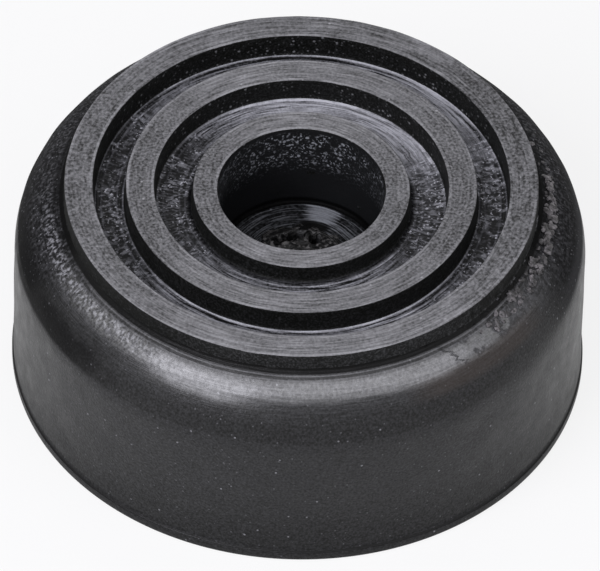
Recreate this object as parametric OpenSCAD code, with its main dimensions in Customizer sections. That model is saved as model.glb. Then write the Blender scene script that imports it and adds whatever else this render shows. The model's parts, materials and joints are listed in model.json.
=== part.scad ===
// Screw-on rubber foot, moulded in one piece.
// A round body with a domed shoulder carries three concentric grip ribs on its
// sole. A counterbore inside the inner rib sinks the screw head and its washer,
// and a clearance hole runs on through the web to the flat mounting face.
// The foot stands on its mounting face at z = 0, with the ribbed sole upwards.

/* [Body] */
// Diameter over the moulding lip at the mounting face
foot_d = 38; // [35:0.5:60]
// Height from the mounting face to the top of the outer rib
foot_h = 16; // [13:0.5:30]
// Height of the moulding lip round the mounting face
lip_h = 0.7; // [0.3:0.1:1.5]
// How far the lip stands out from the side wall
lip_proud = 0.08; // [0.04:0.01:0.3]
// Radius that rounds the edge of the mounting face
base_edge_r = 0.2; // [0.1:0.05:0.25]

/* [Shoulder] */
// Radius of the round shoulder between the side wall and the sole
shoulder_r = 5.4; // [4:0.1:6.5]
// Depth of the shoulder's crown below the top of the outer rib
shoulder_drop = 0.8; // [0.5:0.05:1.4]
// Radius of the fillet where the outer rib rises from the shoulder
shoulder_fillet_r = 0.25; // [0.1:0.05:0.4]

/* [Grip ribs] */
// Distance from the side wall in to the outer rib
rim_w = 3.25; // [2.4:0.05:4]
// Width of the outer rib at its top
outer_rib_w = 1.95; // [1.2:0.05:2.6]
// Width of the middle rib at its top
middle_rib_w = 1.95; // [1.2:0.05:2.6]
// Width of the inner rib at its top
inner_rib_w = 1.7; // [1.2:0.05:2.4]
// Share of the free width between ribs that lies inside the middle rib
inner_groove_share = 0.54; // [0.35:0.01:0.65]
// Depth of the grooves below the top of the outer rib
groove_depth = 1.75; // [1.2:0.05:2.4]
// How far the middle rib's top lies below the outer rib's top
middle_rib_drop = 0.1; // [0:0.05:0.5]
// How far the inner rib's top lies below the outer rib's top
inner_rib_drop = 0.45; // [0:0.05:0.8]
// Draft of the rib sides, in degrees from vertical
rib_draft = 2; // [0.5:0.5:5]
// Radius that rounds the top edges of the ribs
rib_edge_r = 0.12; // [0.05:0.01:0.3]
// Radius of the fillets at the foot of the ribs
groove_fillet_r = 0.25; // [0.1:0.05:0.4]

/* [Screw seat] */
// Diameter of the screw's shank
screw_d = 5; // [3:0.5:6]
// Radial clearance round the shank
screw_clearance = 0.25; // [0.15:0.05:0.5]
// Diameter of the washer under the screw's head
washer_d = 10; // [9:0.5:11]
// Radial clearance round the washer
washer_clearance = 0.5; // [0.2:0.05:0.6]
// Thickness of the web that the screw clamps
web_h = 8.7; // [5:0.1:10.5]
// Radius of the fillet round the counterbore's floor
seat_fillet_r = 0.25; // [0.1:0.05:0.4]

/* [Hidden] */
$fn = 144;

foot_r = foot_d / 2;
wall_r = foot_r - lip_proud;
screw_hole_r = screw_d / 2 + screw_clearance;
counterbore_r = washer_d / 2 + washer_clearance;

// Heights of the sole's surfaces
outer_top_z = foot_h;
middle_top_z = foot_h - middle_rib_drop;
inner_top_z = foot_h - inner_rib_drop;
groove_z = foot_h - groove_depth;

// Radii of the rib edges at their tops, from the side wall and the counterbore inwards
outer_rib_out = wall_r - rim_w;
outer_rib_in = outer_rib_out - outer_rib_w;
inner_rib_out = counterbore_r + inner_rib_w;
free_w = outer_rib_in - inner_rib_out - middle_rib_w;
middle_rib_in = inner_rib_out + free_w * inner_groove_share;
middle_rib_out = middle_rib_in + middle_rib_w;

// Hair's breadth by which a concave round bites into its flats, so that they cross cleanly
bite = 0.004;

// Centre of the shoulder's arc
shoulder_centre = [wall_r - shoulder_r, foot_h - shoulder_drop - shoulder_r];

// Centre of the fillet between the outer rib's outer side and the shoulder's arc. It lies
// one fillet radius off the drafted side, and both radii away from the shoulder's centre.
side_normal = [cos(rib_draft), sin(rib_draft)];
side_down = [sin(rib_draft), -cos(rib_draft)];
fillet_start = [outer_rib_out, outer_top_z] + side_normal * shoulder_fillet_r - shoulder_centre;
fillet_along = fillet_start * side_down;
fillet_reach = shoulder_r + shoulder_fillet_r;
fillet_drop = -fillet_along
    - sqrt(fillet_along * fillet_along - fillet_start * fillet_start + fillet_reach * fillet_reach);
fillet_centre = shoulder_centre + fillet_start + side_down * fillet_drop;

// How far a drafted side spreads over a height
function spread(height) = height * tan(rib_draft);

// Unit vector along v
function unit(v) = v / norm(v);

// Corner i of an outline, and its neighbours, as plain [r, z] points
function corner(pts, i) =
    let (p = pts[(i + len(pts)) % len(pts)])
    [p[0], p[1]];

// Half of the angle inside corner i
function half_angle(pts, i) =
    let (
        back = unit(corner(pts, i - 1) - corner(pts, i)),
        ahead = unit(corner(pts, i + 1) - corner(pts, i))
    )
    acos(back * ahead) / 2;

// The two points where the round of corner i meets its straight sides
function tangents(pts, i) =
    let (
        at = corner(pts, i),
        back = unit(corner(pts, i - 1) - at),
        ahead = unit(corner(pts, i + 1) - at),
        reach = pts[i][2] / tan(half_angle(pts, i))
    )
    [at + back * reach, at + ahead * reach];

// Centre of the round of corner i
function round_centre(pts, i) =
    let (
        at = corner(pts, i),
        back = unit(corner(pts, i - 1) - at),
        ahead = unit(corner(pts, i + 1) - at)
    )
    at + unit(back + ahead) * pts[i][2] / sin(half_angle(pts, i));

// True where a counterclockwise outline turns left, so the corner stands out
function stands_out(pts, i) =
    cross(corner(pts, i) - corner(pts, i - 1), corner(pts, i + 1) - corner(pts, i)) > 0;

// Filled counterclockwise outline of [r, z, radius] points, each corner rounded by a true arc
module rounded_outline(pts) {
    flats = [
        for (i = [0:len(pts) - 1])
            each pts[i][2] > 0 ? tangents(pts, i) : [corner(pts, i)]
    ];
    difference() {
        union() {
            polygon(flats);
            for (i = [0:len(pts) - 1])
                if (pts[i][2] > 0 && stands_out(pts, i))
                    translate(round_centre(pts, i)) circle(r = pts[i][2]);
        }
        for (i = [0:len(pts) - 1])
            if (pts[i][2] > 0 && !stands_out(pts, i))
                translate(round_centre(pts, i)) circle(r = pts[i][2] + bite);
    }
}

// Section of the core: screw hole, counterbore, ribs and grooves
module core_section() {
    core_r = outer_rib_out + spread(outer_top_z - shoulder_centre[1]);
    rounded_outline([
        [screw_hole_r, 0, 0],
        [core_r, 0, 0],
        [core_r, shoulder_centre[1], 0],
        [outer_rib_out, outer_top_z, rib_edge_r],
        [outer_rib_in, outer_top_z, rib_edge_r],
        [outer_rib_in - spread(outer_top_z - groove_z), groove_z, groove_fillet_r],
        [middle_rib_out + spread(middle_top_z - groove_z), groove_z, groove_fillet_r],
        [middle_rib_out, middle_top_z, rib_edge_r],
        [middle_rib_in, middle_top_z, rib_edge_r],
        [middle_rib_in - spread(middle_top_z - groove_z), groove_z, groove_fillet_r],
        [inner_rib_out + spread(inner_top_z - groove_z), groove_z, groove_fillet_r],
        [inner_rib_out, inner_top_z, rib_edge_r],
        [counterbore_r, inner_top_z, rib_edge_r],
        [counterbore_r, web_h, seat_fillet_r],
        [screw_hole_r, web_h, 0]
    ]);
}

// Section of the side wall and the round shoulder, outside the middle of the outer rib
module shoulder_section() {
    rib_middle = outer_rib_out - outer_rib_w / 2;
    intersection() {
        union() {
            square([wall_r, shoulder_centre[1]]);
            translate(shoulder_centre) circle(r = shoulder_r);
        }
        translate([rib_middle, base_edge_r]) square([foot_r, foot_h]);
    }
}

// Section of the moulding lip round the mounting face
module lip_section() {
    rounded_outline([
        [screw_hole_r, 0, 0],
        [foot_r, 0, base_edge_r],
        [foot_r, lip_h, lip_proud / 2],
        [wall_r - lip_proud, lip_h, 0],
        [screw_hole_r, lip_h, 0]
    ]);
}

// Web that the fillet at the foot of the outer rib is cut from, up to where its round meets
// the rib's side and the shoulder's arc
module fillet_web_section() {
    on_side = fillet_centre - side_normal * shoulder_fillet_r;
    on_arc = shoulder_centre + unit(fillet_centre - shoulder_centre) * shoulder_r;
    polygon([on_side, shoulder_centre, on_arc]);
}

// The whole foot, turned about its axis
module rubber_foot() {
    color([0.12, 0.12, 0.13])
        rotate_extrude()
            difference() {
                union() {
                    core_section();
                    shoulder_section();
                    fillet_web_section();
                    lip_section();
                }
                translate(fillet_centre) circle(r = shoulder_fillet_r + bite);
            }
}

rubber_foot();
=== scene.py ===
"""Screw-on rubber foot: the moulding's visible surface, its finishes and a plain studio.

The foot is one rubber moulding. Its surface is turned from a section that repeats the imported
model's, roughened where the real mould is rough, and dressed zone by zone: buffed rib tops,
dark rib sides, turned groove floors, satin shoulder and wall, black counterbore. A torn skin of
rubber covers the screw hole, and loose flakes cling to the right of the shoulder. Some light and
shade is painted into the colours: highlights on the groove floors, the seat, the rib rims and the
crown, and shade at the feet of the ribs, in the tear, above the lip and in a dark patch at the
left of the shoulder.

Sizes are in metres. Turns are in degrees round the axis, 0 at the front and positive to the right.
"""

from __future__ import annotations

import json
import logging
import math
import random
from collections.abc import Callable
from dataclasses import dataclass, field
from enum import Enum
from functools import cached_property

import bmesh
import bpy
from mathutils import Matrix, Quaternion, Vector, noise


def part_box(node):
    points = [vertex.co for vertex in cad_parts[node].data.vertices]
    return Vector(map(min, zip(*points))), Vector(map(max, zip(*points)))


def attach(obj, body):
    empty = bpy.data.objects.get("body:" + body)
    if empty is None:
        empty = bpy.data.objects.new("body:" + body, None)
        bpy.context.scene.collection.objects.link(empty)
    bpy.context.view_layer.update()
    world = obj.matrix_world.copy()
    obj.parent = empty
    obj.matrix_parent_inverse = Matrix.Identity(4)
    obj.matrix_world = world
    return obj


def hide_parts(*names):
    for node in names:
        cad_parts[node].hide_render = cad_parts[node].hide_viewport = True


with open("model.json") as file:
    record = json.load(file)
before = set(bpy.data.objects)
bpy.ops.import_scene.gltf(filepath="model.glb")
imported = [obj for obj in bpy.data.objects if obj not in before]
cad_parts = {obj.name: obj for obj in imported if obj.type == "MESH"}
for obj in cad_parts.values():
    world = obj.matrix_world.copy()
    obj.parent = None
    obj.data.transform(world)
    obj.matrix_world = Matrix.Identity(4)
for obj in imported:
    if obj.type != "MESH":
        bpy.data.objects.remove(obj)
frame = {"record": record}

LOG = logging.getLogger("rubber_foot")
MM = 0.001
WELD = 0.001 * MM
NODE = "rubber_foot"
BODY = "root"
IMAGE_W = 600

Colour = tuple[float, float, float]


# Modelling helpers


def deselect_all() -> None:
    """Leaves nothing selected, so that the next operator acts on its own piece alone."""
    bpy.ops.object.select_all(action="DESELECT")


def apply_modifiers(piece: bpy.types.Object) -> None:
    """Applies the piece's modifiers in order, so that its mesh holds the finished shape.

    Args:
        piece: The object whose modifiers are applied.
    """
    deselect_all()
    piece.select_set(True)
    bpy.context.view_layer.objects.active = piece
    for modifier in list(piece.modifiers):
        bpy.ops.object.modifier_apply(modifier=modifier.name)


def wear(
    piece: bpy.types.Object, name: str, weight: Callable[[Vector], float], size: float, depth: float
) -> None:
    """Lowers part of the surface unevenly along its normals, never above where it was.

    Args:
        piece: The object to roughen.
        name: Name of the wear, and of the vertex group that says where it is.
        weight: Gives the share of the wear, from 0 to 1, at a place.
        size: Size of the lumps.
        depth: Greatest depth.
    """
    group = piece.vertex_groups.new(name=name)
    for vertex in piece.data.vertices:
        share = weight(vertex.co)
        if share > 0.0:
            group.add([vertex.index], share, "REPLACE")
    clouds = bpy.data.textures.new(f"{name}_wear", "CLOUDS")
    clouds.noise_scale = size
    clouds.noise_depth = 1
    displace = piece.modifiers.new(f"{name}_wear", "DISPLACE")
    displace.texture = clouds
    displace.texture_coords = "LOCAL"
    displace.vertex_group = name
    displace.mid_level = 1.0
    displace.strength = depth


def ramp(value: float, low: float, high: float) -> float:
    """Straight ramp of a value: 0 at low and 1 at high, whichever of them is greater.

    Args:
        value: The value.
        low: Value at which the ramp starts.
        high: Value at which it ends.

    Returns:
        The ramp, from 0 to 1.
    """
    return min(max((value - low) / (high - low), 0.0), 1.0)


# Shader maths


class Number:
    """A value that varies over a surface. Arithmetic on it adds Math nodes."""

    def __init__(self, graph: Graph, socket: bpy.types.NodeSocket) -> None:
        """Wraps an output socket of the graph."""
        self.graph = graph
        self.socket = socket

    def __add__(self, other: Number | float) -> Number:
        """Sum."""
        return self.graph.math("ADD", self, other)

    def __sub__(self, other: Number | float) -> Number:
        """Difference."""
        return self.graph.math("SUBTRACT", self, other)

    def __rsub__(self, other: float) -> Number:
        """Difference from a plain number."""
        return self.graph.math("SUBTRACT", other, self)

    def __mul__(self, other: Number | float) -> Number:
        """Product."""
        return self.graph.math("MULTIPLY", self, other)

    def __truediv__(self, other: Number | float) -> Number:
        """Quotient."""
        return self.graph.math("DIVIDE", self, other)

    def __pow__(self, other: Number | float) -> Number:
        """Power."""
        return self.graph.math("POWER", self, other)

    __radd__ = __add__
    __rmul__ = __mul__

    def at_least(self, other: Number | float) -> Number:
        """The greater of the two."""
        return self.graph.math("MAXIMUM", self, other)

    def at_most(self, other: Number | float) -> Number:
        """The smaller of the two."""
        return self.graph.math("MINIMUM", self, other)

    def over(self, other: Number, mask: Number) -> Number:
        """This value where the mask is 1, and the other where it is 0."""
        return mask * self + (1.0 - mask) * other

    def less(self, mask: Number, share: float = 1.0) -> Number:
        """The value with a share of it taken away where the mask is 1."""
        return self * (1.0 - mask * share)

    def widen(self, gain: float) -> Number:
        """Widens a noise about its middle, so that its softness stays but its contrast grows."""
        return (self - 0.5) * gain + 0.5

    def rise(self, low: float, high: float) -> Number:
        """Smooth step that is 0 at low and 1 at high, whichever of them is greater.

        Args:
            low: Value at which the step starts.
            high: Value at which the step ends.

        Returns:
            The step.
        """
        step = self.graph.add(
            "ShaderNodeMapRange",
            {"interpolation_type": "SMOOTHSTEP"},
            {"Value": self, "From Min": low, "From Max": high},
        )
        return Number(self.graph, step.outputs["Result"])

    def band(self, low: float, high: float, soft: float) -> Number:
        """Mask that is 1 between low and high, and falls to 0 over a soft edge outside either."""
        return self.rise(low - soft, low) * self.rise(high + soft, high)


class Graph:
    """Node tree that is written as expressions."""

    def __init__(self, tree: bpy.types.NodeTree) -> None:
        """Starts on an emptied tree."""
        self.tree = tree
        tree.nodes.clear()

    def add(
        self,
        kind: str,
        settings: dict[str, object] | None = None,
        inputs: dict[str | int, object] | None = None,
    ) -> bpy.types.Node:
        """Adds a node, makes its settings and then feeds its sockets.

        Args:
            kind: Type of the node.
            settings: Properties of the node, by name.
            inputs: Values, numbers or output sockets, by the input's name or index.

        Returns:
            The node.
        """
        node = self.tree.nodes.new(kind)
        for name, value in (settings or {}).items():
            setattr(node, name, value)
        for key, value in (inputs or {}).items():
            if isinstance(value, Number):
                value = value.socket
            if isinstance(value, bpy.types.NodeSocket):
                self.tree.links.new(value, node.inputs[key])
            else:
                node.inputs[key].default_value = value
        return node

    def math(self, operation: str, *values: Number | float) -> Number:
        """Adds a Math node of that operation and feeds it the values in order."""
        node = self.add("ShaderNodeMath", {"operation": operation}, dict(enumerate(values)))
        return Number(self, node.outputs[0])

    def vector(self, x: Number, y: Number | float = 0.0, z: Number | float = 0.0) -> bpy.types.NodeSocket:
        """Joins three values into coordinates."""
        return self.add("ShaderNodeCombineXYZ", inputs={"X": x, "Y": y, "Z": z}).outputs[0]

    def mixed(
        self, factor: Number | bpy.types.NodeSocket, low: bpy.types.Node, high: bpy.types.Node
    ) -> bpy.types.Node:
        """Mixes two shaders: the first where the factor is 0, and the second where it is 1."""
        shaders = {0: factor, 1: low.outputs[0], 2: high.outputs[0]}
        return self.add("ShaderNodeMixShader", inputs=shaders)

    def plain_view(self) -> Number:
        """Finds the rays that show the background as it is.

        Returns:
            1 for rays from the camera, from a gloss or through something clear, and 0 for others.
        """
        path = self.add("ShaderNodeLightPath")
        kinds = ("Camera", "Glossy", "Transmission")
        return sum(Number(self, path.outputs[f"Is {kind} Ray"]) for kind in kinds).at_most(1.0)


class Surface(Graph):
    """Node tree of a material, with the foot's own coordinates and patterns."""

    def __init__(self, name: str) -> None:
        """Starts a material and reads the place of the shaded point.

        Args:
            name: Name of the material.
        """
        self.material = bpy.data.materials.new(name)
        self.material.use_nodes = True
        super().__init__(self.material.node_tree)
        coordinates = self.add("ShaderNodeTexCoord")
        self.place = coordinates.outputs["Object"]
        split = self.add("ShaderNodeSeparateXYZ", inputs={"Vector": self.place})
        self.x, self.y, self.z = (Number(self, split.outputs[axis]) for axis in "XYZ")
        self.radius = (self.x * self.x + self.y * self.y) ** 0.5
        self.east = self.x / self.radius
        self.north = self.y / self.radius
        self.turn = self.degrees(self.x, 0.0 - self.y)

    @cached_property
    def fore_aft(self) -> Number:
        """1 straight in front and behind, 0 at the left and right."""
        return self.north * self.north

    def degrees(self, across: Number, along: Number) -> Number:
        """Angle of a direction from its parts across and along zero, from -180 to 180 degrees."""
        return self.math("ARCTAN2", across, along) * math.degrees(1.0)

    def towards(self, turn: float) -> Number:
        """How nearly the point lies at that turn: 1 there, 0 at right angles to it, -1 opposite."""
        angle = math.radians(turn)
        return self.east * math.sin(angle) - self.north * math.cos(angle)

    def shifted(self, vector: bpy.types.NodeSocket, seed: float) -> bpy.types.NodeSocket:
        """Moves coordinates far off, so that each seed reads another stretch of a pattern."""
        step = (7.3 * seed, 3.1 * seed, 5.7 * seed)
        return self.add("ShaderNodeVectorMath", {"operation": "ADD"}, {0: vector, 1: step}).outputs[0]

    def noise(self, vector: bpy.types.NodeSocket, seed: float, detail: float) -> Number:
        """Noise with lumps about one unit wide, from 0 to 1 with little near the ends."""
        inputs = {"Vector": self.shifted(vector, seed), "Scale": 1.0, "Detail": detail}
        return Number(self, self.add("ShaderNodeTexNoise", inputs=inputs).outputs[0])

    def scaled(self, size: float) -> bpy.types.NodeSocket:
        """Coordinates of the shaded point, counted in steps of a size."""
        inputs = {"Vector": self.place, "Scale": 1.0 / size}
        return self.add("ShaderNodeVectorMath", {"operation": "SCALE"}, inputs).outputs[0]

    def grain(self, size: float, seed: float, detail: float = 1.0) -> Number:
        """Grain of that size, alike in all directions, from 0 to 1 with little near the ends."""
        return self.noise(self.scaled(size), seed, detail)

    def streaks(self, width: float, reach: float, seed: float, detail: float = 1.0) -> Number:
        """Marks of turning: long round the axis and fine across.

        Args:
            width: Width of a streak.
            reach: Length of a streak, in radians.
            seed: Seed of the pattern.
            detail: Number of finer layers.

        Returns:
            The streaks, from 0 to 1 with little near the ends.
        """
        slant = 0.8
        across = (self.z - self.radius * slant) / width
        return self.noise(self.vector(across, self.east / reach, self.north / reach), seed, detail)

    def barbs(self, width: float, reach: float, seed: float, detail: float = 1.0) -> Number:
        """Marks of the rubber's flow: fine round the axis and longer outwards from it.

        Args:
            width: Width of a mark on the shoulder. It narrows towards the axis.
            reach: Length of a mark.
            seed: Seed of the pattern.
            detail: Number of finer layers.

        Returns:
            The marks, from 0 to 1 with little near the ends.
        """
        crown_r = 15.0 * MM
        count = crown_r / width
        outwards = (self.radius - self.z) / reach
        return self.noise(self.vector(outwards, self.east * count, self.north * count), seed, detail)

    def along(self, value: Number, seed: float, detail: float) -> Number:
        """Noise that follows one value only, so that a line which it shifts never crosses itself."""
        return self.noise(self.vector(value), seed, detail)

    def specks(self, spacing: float, radius: float, share: float, seed: float) -> Number:
        """Small round specks, of which a share is kept.

        Args:
            spacing: Distance between neighbouring specks in the rubber, above and below its face.
            radius: Radius of a speck.
            share: Share of the specks that is kept.
            seed: Seed of the pattern.

        Returns:
            1 on a speck and 0 off it.
        """
        inputs = {"Vector": self.shifted(self.scaled(spacing), seed), "Scale": 1.0}
        cells = self.add("ShaderNodeTexVoronoi", {"feature": "F1"}, inputs)
        near = Number(self, cells.outputs["Distance"]).rise(radius / spacing, 0.4 * radius / spacing)
        pick = self.add("ShaderNodeSeparateColor", inputs={"Color": cells.outputs["Color"]})
        return near * Number(self, pick.outputs["Red"]).rise(0.98 - share, 1.0 - share)

    def ripples(self, foot: float, pitch: float, reach: float) -> Number:
        """Fine rings that the mould left beside the foot of a rib, and that die out away from it.

        Args:
            foot: Radius of the rib's foot.
            pitch: Distance from ring to ring.
            reach: Distance over which they die out. Negative lays them on the inner side.

        Returns:
            The rings: 1 on a pale crest, a little below 0 between crests, and 0 far away.
        """
        away = self.radius - foot
        fade = away.rise(reach, 0.0) * away.rise(-0.2 * reach, 0.0)
        crests = (self.math("COSINE", away * (math.tau / pitch)) * 0.5 + 0.5) ** 2.2
        return (crests * 1.4 - 0.4) * fade

    def blend(
        self, factor: Number | float, low: Colour | bpy.types.NodeSocket, high: Colour
    ) -> bpy.types.NodeSocket:
        """Mixes two colours.

        Args:
            factor: Share of the second colour.
            low: Colour where the factor is 0.
            high: Colour where the factor is 1.

        Returns:
            The colour.
        """
        first = low if isinstance(low, bpy.types.NodeSocket) else (*low, 1.0)
        inputs = {0: factor, 6: first, 7: (*high, 1.0)}
        mix = self.add("ShaderNodeMix", {"data_type": "RGBA", "clamp_factor": True}, inputs)
        return mix.outputs[2]


# Finishes


class Rubber(Surface):
    """Black rubber: what the finishes of the moulding share.

    A finish is written once into its own node tree. Its masks and patterns are kept, so that the
    tone and the relief read the same nodes.
    """

    name = "rubber"
    dark: Colour = (0.003, 0.003, 0.003)
    light: Colour = (0.3, 0.3, 0.3)
    roughness = 0.5
    specular = 0.2
    depth = 0.06 * MM
    coat_roughness = 0.22
    coat_ior = 1.7

    def __init__(self, moulding: RubberFoot) -> None:
        """Starts a finish that follows the sizes of the moulding."""
        super().__init__(self.name)
        self.moulding = moulding

    def tone(self) -> Number:
        """Share of the light colour over the surface."""
        raise NotImplementedError

    def relief(self) -> Number:
        """Height of the fine relief over the surface, in steps of the finish's depth."""
        raise NotImplementedError

    def sheen(self) -> Number | float:
        """Weight of the glossy coat over the surface."""
        return 0.0

    def matt(self) -> Number | None:
        """Share of the surface that is dull all through. None keeps it all satin."""
        return None

    def colour(self) -> bpy.types.NodeSocket:
        """Base colour over the surface."""
        return self.blend(self.tone(), self.dark, self.light)

    @cached_property
    def swirl(self) -> Number:
        """Marks of the cutter on the seat, which the torn skin shares."""
        return self.streaks(width=0.07 * MM, reach=0.6, seed=13.0, detail=2.0)

    def build(self) -> bpy.types.Material:
        """Joins the finish's parts into its shader.

        Returns:
            The material.
        """
        height = {"Height": self.relief(), "Distance": self.depth, "Strength": 1.0}
        bump = self.add("ShaderNodeBump", inputs=height).outputs[0]
        colour = self.colour()
        polish = self.grain(size=0.9 * MM, seed=40.0) * 0.2 - 0.1
        shader = self.add(
            "ShaderNodeBsdfPrincipled",
            inputs={
                "Base Color": colour,
                "Roughness": self.roughness - polish,
                "Specular IOR Level": self.specular,
                "Coat Weight": self.sheen(),
                "Coat Roughness": self.coat_roughness,
                "Coat IOR": self.coat_ior,
                "Normal": bump,
            },
        )
        matt = self.matt()
        if matt is not None:
            chalk = self.add("ShaderNodeBsdfDiffuse", inputs={"Color": colour, "Normal": bump})
            shader = self.mixed(matt, shader, chalk)
        self.add("ShaderNodeOutputMaterial", inputs={"Surface": shader.outputs[0]})
        return self.material


class RibTopRubber(Rubber):
    """Buffed tops of the ribs: a grained grey bloom, turned streaks fore and aft, and painted highlights
    along their rims.
    """

    name = "rib_top_rubber"
    dark = (0.013, 0.013, 0.013)
    light = (0.29, 0.289, 0.295)
    roughness = 0.58
    specular = 0.25
    depth = 0.03 * MM

    @cached_property
    def inset(self) -> Number:
        """Distance in from the nearer edge of the rib.

        Returns:
            The distance, negative off the ribs.
        """
        ribs = self.moulding.ribs
        sides = [(self.radius - rib.inner_r).at_most(rib.outer_r - self.radius) for rib in ribs]
        return sides[0].at_least(sides[1]).at_least(sides[2])

    @cached_property
    def pattern(self) -> Number:
        """Streaks fore and aft that give way to an even grain at the sides.

        Returns:
            The pattern, about 0.5 in the middle.
        """
        streaks = self.streaks(width=0.115 * MM, reach=0.22, seed=1.0, detail=2.0).widen(4.2)
        grain = self.grain(size=0.19 * MM, seed=2.0, detail=1.8).widen(3.7)
        turned = self.fore_aft.rise(0.1, 0.8) * 0.32 + 0.28
        return streaks.over(grain, turned)

    def outer(self) -> Number:
        """How much paler the outer rib is in front, and how much darker at the back right.

        Returns:
            The change of tone.
        """
        start_r = self.moulding.outer_rib.inner_r
        on_outer = self.radius.rise(start_r - 0.2 * MM, start_r)
        return on_outer * (self.towards(0.0) * 0.05 - self.towards(145.0).rise(0.6, 1.0) * 0.07)

    def painted_rim_highlight(self) -> Number:
        """Painted highlight: the pale line just inside the edges, broken, and palest at the back left.

        Returns:
            The line's tone.
        """
        line = self.inset.band(0.1 * MM, 0.2 * MM, 0.09 * MM)
        broken = self.streaks(width=0.6 * MM, reach=0.3, seed=16.0).rise(0.35, 0.6)
        return line * broken * (self.towards(-140.0).rise(0.2, 1.0) * 0.2 + 0.2)

    def tone(self) -> Number:
        """The pattern with cloudy patches, a few specks, the painted highlight inside the edges and a
        dark edge.

        Returns:
            The tone.
        """
        clouds = self.grain(size=1.4 * MM, seed=12.0) * 0.3
        specks = self.specks(spacing=0.8 * MM, radius=0.1 * MM, share=0.3, seed=3.0)
        turned = self.fore_aft.rise(0.0, 0.9) * 0.19
        tone = self.pattern * 0.58 + clouds + turned + self.outer() + specks + self.painted_rim_highlight() - 0.13
        return tone * self.inset.rise(-0.04 * MM, 0.1 * MM)

    def relief(self) -> Number:
        """The same pattern."""
        return self.pattern


class GrooveRubber(Rubber):
    """Floors of the grooves: greyish turned fore and aft, partly a painted reflection, black and pitted
    at the sides.
    """

    name = "groove_rubber"
    dark = (0.003, 0.003, 0.0032)
    light = (0.44, 0.442, 0.472)
    specular = 0.14

    @cached_property
    def turned(self) -> Number:
        """Share of the paler turned floor, partly a painted reflection: 1 fore and aft, 0 at the sides,
        with a ragged change.

        Returns:
            The share.
        """
        ragged = self.grain(size=0.7 * MM, seed=15.0) * 0.6 - 0.3
        # More of it at the back right, where the painted reflection is strongest.
        right = self.towards(140.0).rise(0.5, 1.0) * 0.2
        return (self.fore_aft + ragged + right).rise(0.12, 0.7)

    @cached_property
    def outer(self) -> Number:
        """Mask of the outer groove."""
        start_r = self.moulding.middle_rib.inner_r
        return self.radius.rise(start_r, start_r + 0.1 * MM)

    @cached_property
    def rings(self) -> Number:
        """Mould rings beside the feet of the ribs, stronger in the outer groove.

        Returns:
            The rings: 1 on a pale crest, 0 far from the ribs.
        """
        inner, middle, outer = self.moulding.ribs
        round_r = self.moulding.groove_fillet_r
        pitch = 0.4 * MM
        reach = 0.8 * MM
        # The first crest beside each rib lies a part of the fillet away from it.
        outward = (inner.outer_r + 1.8 * round_r, middle.outer_r + 0.6 * round_r)
        inward = (middle.inner_r - 0.7 * round_r, outer.inner_r - 0.5 * round_r)
        rings = [self.ripples(foot, pitch, reach) for foot in outward]
        rings += [self.ripples(foot, pitch, -reach) for foot in inward]
        broken = self.streaks(width=0.5 * MM, reach=0.2, seed=17.0).rise(0.35, 0.6) * 0.6 + 0.4
        return sum(rings) * broken * (self.outer * 0.6 + 1.0)

    @cached_property
    def turning(self) -> Number:
        """Marks of turning on the floors."""
        return self.streaks(width=0.08 * MM, reach=0.2, seed=4.0, detail=2.0)

    @cached_property
    def pits(self) -> Number:
        """Pits that the rubber's flow left."""
        return self.barbs(width=0.3 * MM, reach=0.42 * MM, seed=6.0, detail=2.0)

    @cached_property
    def painted_foot_shade(self) -> Number:
        """Painted shade at the foot of the inner rib: black, and dull."""
        start_r = self.moulding.inner_rib.outer_r + 0.18 * MM
        return self.radius.rise(start_r + 0.24 * MM, start_r) * 0.85

    @cached_property
    def painted_fan_highlight(self) -> Number:
        """Painted highlights at the back, where the turned floors catch the light: one sector in each
        groove.

        Returns:
            Their strength.
        """
        inner = self.towards(146.0).rise(0.1, 0.95)
        outer = self.towards(130.0).rise(0.72, 1.0) * 0.8 - self.towards(186.0).rise(0.8, 1.0) * 0.3
        return outer.over(inner, self.outer)

    def brushed(self) -> Number:
        """Tone of the turned floors.

        Returns:
            The tone.
        """
        grain = self.grain(size=0.17 * MM, seed=5.0, detail=1.6).widen(3.6)
        fore = self.outer * self.towards(0.0).rise(0.5, 0.95)
        # The painted highlight raises the streaks' contrast and tone in the back sectors.
        contrast = self.painted_fan_highlight * 0.2 + fore * 0.16 + 0.3
        return self.turning.widen(5.0) * contrast + grain * 0.17 + self.painted_fan_highlight * 0.36 - 0.01

    def pitted(self) -> Number:
        """Tone of the black floors: light flecks, in clumps.

        Returns:
            The tone.
        """
        lumps = self.pits.rise(0.45, 0.66) * 0.3
        flecks = self.grain(size=0.18 * MM, seed=37.0).rise(0.6, 0.74) * 0.85
        clumps = self.grain(size=0.9 * MM, seed=38.0).rise(0.35, 0.65) + 0.3
        # In the back sectors the flecks are lightened too, as a painted highlight.
        return (lumps + flecks) * (clumps + self.painted_fan_highlight * 0.7) + self.painted_fan_highlight * 0.05

    def tone(self) -> Number:
        """Streaks and rings on the turned part, light flecks on the black part, painted shade at the
        inner rib's foot.
        """
        floors = self.brushed().over(self.pitted(), self.turned)
        return (floors + self.rings * (self.turned * 0.29 + 0.12)).less(self.painted_foot_shade)

    def relief(self) -> Number:
        """Streaks, rings and coarse pits."""
        return self.turning * 0.4 + self.pits * 1.2 + self.rings * 0.6

    def matt(self) -> Number:
        """Dull where the shade at the inner rib's foot is painted."""
        return self.painted_foot_shade


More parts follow.
